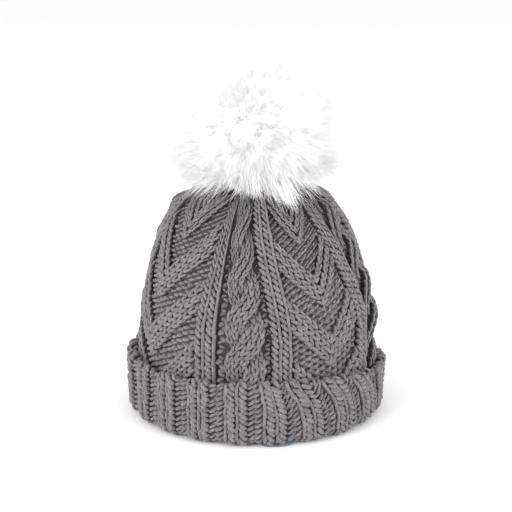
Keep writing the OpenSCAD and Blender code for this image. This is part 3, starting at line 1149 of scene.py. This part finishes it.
def make_tacks():
    """Wraps of yarn that hold the cuff to the crown."""
    low, high = node_box("cuff_tacks")
    middle_z = (low[2] + high[2]) / 2
    angles = np.repeat(np.arange(4) * 90 + 45, 3)[:, None]
    spread = np.tile([-0.5, 0.0, 0.5], 4)[:, None]
    t = np.linspace(0, 1, 9)
    heights = middle_z + 0.5 * np.sin(math.pi * t) + 0.8 * spread
    paths = around(np.radians(angles + spread), CROWN_R - 2 + 6.0 * t, heights)
    dress(make_tubes("cuff_tack_wraps", paths, UP, 0.55), knit_yarn, "hat", "cuff_tacks")


def make_yarn_ring(name, node, waves, swing, yarn_r, material, body):
    """Yarn that runs twice round a ring, in and out as it does through gathered cloth."""
    low, high = node_box(node)
    ring_r = high[0] - (high[2] - low[2]) / 2
    middle_z = (low[2] + high[2]) / 2
    share = np.linspace(0, 2, 320)
    r = ring_r + swing * np.sin(share * 2 * math.pi * waves)
    paths = around(np.radians(share * 360), r, middle_z + 0.7 * swing * np.cos(share * 17))
    dress(make_tubes(name, paths[None], UP, yarn_r), material, body, node)


RIVET_HOLE_R = 2.2
PRESSED_R = 7


def make_felt_disc(name, node, body):
    """Felt disc with soft cut edges, a hole for the rivet and a pressed ring round it."""
    low, high = node_box(node)
    outer_r, half = high[0], (high[2] - low[2]) / 2
    middle_z = (low[2] + high[2]) / 2
    reach = np.linspace(outer_r - half, RIVET_HOLE_R + 0.3, 16)
    top = [(r, half - 0.18 * math.exp(-((r - PRESSED_R) / 1.5) ** 2)) for r in reach]
    section = arc_points((outer_r - half, 0), half, -90, 90, 9) + top + [(RIVET_HOLE_R, 0)]
    section += [(r, -h) for r, h in reversed(top)]
    r, z = np.array(section).T[..., None]
    turn = full_turn(120)
    rough = 1 + 0.006 * np.sin(9 * turn) + 0.004 * np.sin(23 * turn)
    points = around(turn, r * rough, middle_z + z)
    disc = dress(make_grid(name, points, wrap=True, ring=True), felt, body, node)


LABEL_T = 0.16


def make_label():
    """Care label: a woven tape folded in half, with heat-cut ends and a plain woven border."""
    low, high = node_box("care_label")
    width, middle_y = high[0] - low[0], (low[1] + high[1]) / 2
    top, bottom = high[2], low[2]
    x = np.linspace(low[0], high[0], 26)
    down = np.linspace(0, 1, 36)[:, None]
    curl = 0.12 * np.sin(down * 5) + 0.08 * np.sin(x / 4) * down
    z = top - 0.4 - down * (top - bottom - 0.5)
    border = 0.05 * np.exp(-((np.abs(x) - width / 2 + 1.2) / 0.5) ** 2)
    for name, offset in (("label_front_layer", -0.2), ("label_back_layer", 0.2)):
        y = middle_y + offset + 0.5 * curl
        sides = (y - LABEL_T / 2 - border, y + LABEL_T / 2)
        outer, inner = [np.stack(np.broadcast_arrays(x, side, z), axis=-1) for side in sides]
        piece = dress(make_shell(name, outer, inner), label_tape, "label", "care_label")
    fold = np.linspace(low[0] + 0.05, high[0] - 0.05, 24)
    paths = np.stack(np.broadcast_arrays(fold, middle_y, top - 0.4), axis=-1)[None]
    dress(make_tubes("label_top_fold", paths, UP, 0.36), label_tape, "label")


def make_label_seam():
    """Tape end caught in the seam above the label, and the stitches through it."""
    low, high = node_box("label_seam")
    radius = high[1] - 0.6
    angles, heights = np.meshgrid(np.linspace(172, 188, 40), np.linspace(low[2], high[2], 8))
    ripple = 0.12 * np.sin(angles * 1.9)
    outer = around(np.radians(angles), radius + 0.5, heights)
    inner = around(np.radians(angles), radius - 0.5 + ripple, heights)
    dress(make_shell("label_seam_tape", outer, inner), label_tape, "hat", "label_seam")
    start = np.linspace(172.6, 186, 9)[:, None]
    t = np.linspace(0, 1, 7)
    r = radius - 0.55 - 0.25 * np.sin(math.pi * t)
    paths = around(np.radians(start + 1.1 * t), r, (low[2] + high[2]) / 2)
    dress(make_tubes("label_seam_stitches", paths, UP, 0.18), white_thread, "hat")


def make_core_ball(name, node, low_z, outer_r, pleats, material):
    """Ball of cloth or filling, open below, with pleats where it is gathered."""
    tilt_end = math.acos(np.clip((low_z - POMPOM_Z) / outer_r, -1, 1))
    tilt, turn = np.meshgrid(np.linspace(0.03, tilt_end, 60), full_turn(144), indexing="ij")
    near = smoothstep((tilt - tilt_end + 0.7) / 0.7)
    radius = outer_r + near * pleats * np.sin(36 * turn) - pleats * near
    radius = radius + 0.2 * np.sin(5 * turn + 3 * tilt) - 0.2
    points = POMPOM + around(turn, np.sin(tilt), np.cos(tilt)) * radius[..., None]
    return dress(make_grid(name, points[::-1], wrap=True), material, "pompom", node)


# Side of the square of fur fabric that is gathered to a ball, in metres
BACKING_FLAT = 0.11


def make_pompom_body():
    """Filling of the pompom, and the gathered backing of its fur."""
    filling_r = node_box("stuffing")[1][2] - POMPOM_Z
    low_z = node_box("fur_backing")[0][2]
    ball = make_core_ball("fibre_filling", "stuffing", low_z + 0.5, filling_r, 0.6, filling)
    backing = make_core_ball("pile_backing", "fur_backing", low_z, CORE_R, 0.8, backing_cloth)
    area = min(mesh_area(backing), BACKING_FLAT ** 2)


# ---- stage, light, camera

CAMERA_FOV = 18.0
CAMERA_TILT = 16.0
CAMERA_DISTANCE = 1309.0
CAMERA_AIM_Z = 125.0
FLOOR_HALF = 4000.0
LIGHTS_AIM = Vector((0, 0, 0.12))
WORLD_STRENGTH = 1.04

# Place and size in metres, and watts
LIGHTS = (
    ("key_light", (-1.1, -1.1, 0.65), 0.9, 23),
    ("fill_light", (1.3, -0.9, 0.55), 1.2, 19),
    ("back_light", (0.2, 1.2, 1.2), 1.2, 2),
)


def make_camera():
    """Camera at the photograph's height and angle."""
    data = bpy.data.cameras.new("camera")
    data.angle = math.radians(CAMERA_FOV)
    camera = bpy.data.objects.new("camera", data)
    bpy.context.collection.objects.link(camera)
    tilt = math.radians(CAMERA_TILT)
    back = Vector((0, -math.cos(tilt), math.sin(tilt)))
    camera.location = (Vector((0, 0, CAMERA_AIM_Z)) + back * CAMERA_DISTANCE) * MM
    camera.rotation_euler = (-back).to_track_quat("-Z", "Y").to_euler()
    bpy.context.scene.camera = camera


def add_light(name, place, size, watts):
    """Soft square light that faces the hat."""
    data = bpy.data.lights.new(name, "AREA")
    data.size = size
    data.energy = watts
    light = bpy.data.objects.new(name, data)
    light.location = place
    light.rotation_euler = (LIGHTS_AIM - Vector(place)).to_track_quat("-Z", "Y").to_euler()
    bpy.context.collection.objects.link(light)


def make_studio():
    """Plain white floor and soft light from all round."""
    ends = (-FLOOR_HALF, FLOOR_HALF)
    floor = make_grid("floor", np.array([[(x, y, 0) for x in ends] for y in ends]))
    paper = Look("paper", {"Base Color": (0.9, 0.9, 0.9, 1), "Roughness": 0.9})
    floor.data.materials.append(paper.material)
    world = bpy.data.worlds.new("studio")
    world.use_nodes = True
    sky = world.node_tree.nodes["Background"]
    sky.inputs["Color"].default_value = (1, 1, 1, 1)
    sky.inputs["Strength"].default_value = WORLD_STRENGTH
    bpy.context.scene.world = world
    for light in LIGHTS:
        add_light(*light)
    bpy.context.scene.view_settings.view_transform = "Standard"


# ---- build

make_camera()
make_studio()

cable_cores, slant_cores = Yarns(flatness=0.32), Yarns(flatness=0.18)
crown_stitches = [knit_ribs(), knit_purl_strips()]
for number, (cable, wide) in enumerate(zip(panels_of("cable"), panels_of("wide")), 1):
    crown_stitches += [
        knit_cable(cable, f"cable_stitches_{number}", cable_cores),
        knit_bands(wide, f"slant_stitches_{number}", slant_cores),
        knit_panel_top(wide, f"top_stitches_{number}"),
        knit_ground(wide, f"ground_stitches_{number}"),
    ]
# The cores are near-black knit_shadow: painted shade under the raised stitches
crown_stitches.append(cable_cores.make("cable_cores", knit_shadow))
crown_stitches.append(slant_cores.make("slant_cores", knit_shadow))
crown_web = turned_web("crown_web", CROWN, CROWN_WEB_SINK, lumps)
crown_stitches.append(make_hidden_wall())
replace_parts(crown_web, "knit_crown")
declare_knit(crown_web, CROWN)

cuff_stitches = [
    knit_cuff_half(kind, half, f"cuff_{kind}_{half + 1}") for kind in ("knit", "purl") for half in (0, 1)
]
cuff_web = turned_web("cuff_web", CUFF, CUFF_WEB_SINK, cuff_wave, cuff_slump, rows=60)
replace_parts(cuff_web, "knit_cuff")
declare_knit(cuff_web, CUFF)

for side, angle in GORES:
    make_gore(side, angle)
make_ear_band()
make_whip_stitches()
make_zigzag()
make_tacks()
knit_back_seam()
make_yarn_ring("gather_yarn_loop", "gather_yarn", 9, 0.6, 0.8, knit_yarn, "hat")
make_felt_disc("crown_felt_patch", "crown_patch", "hat")
make_label()
make_label_seam()

make_felt_disc("pompom_base_disc", "base_disc", "pompom")
make_yarn_ring("draw_thread_loop", "draw_thread", 14, 0.5, 0.5, white_thread, "pompom")
make_pompom_body()
for node in ("snap_stud", "stud_cap", "snap_socket", "socket_cap"):
    paint(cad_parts[node], snap_steel)
paint(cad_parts["snap_spring"], spring_wire)
make_fur_core()
make_fur()
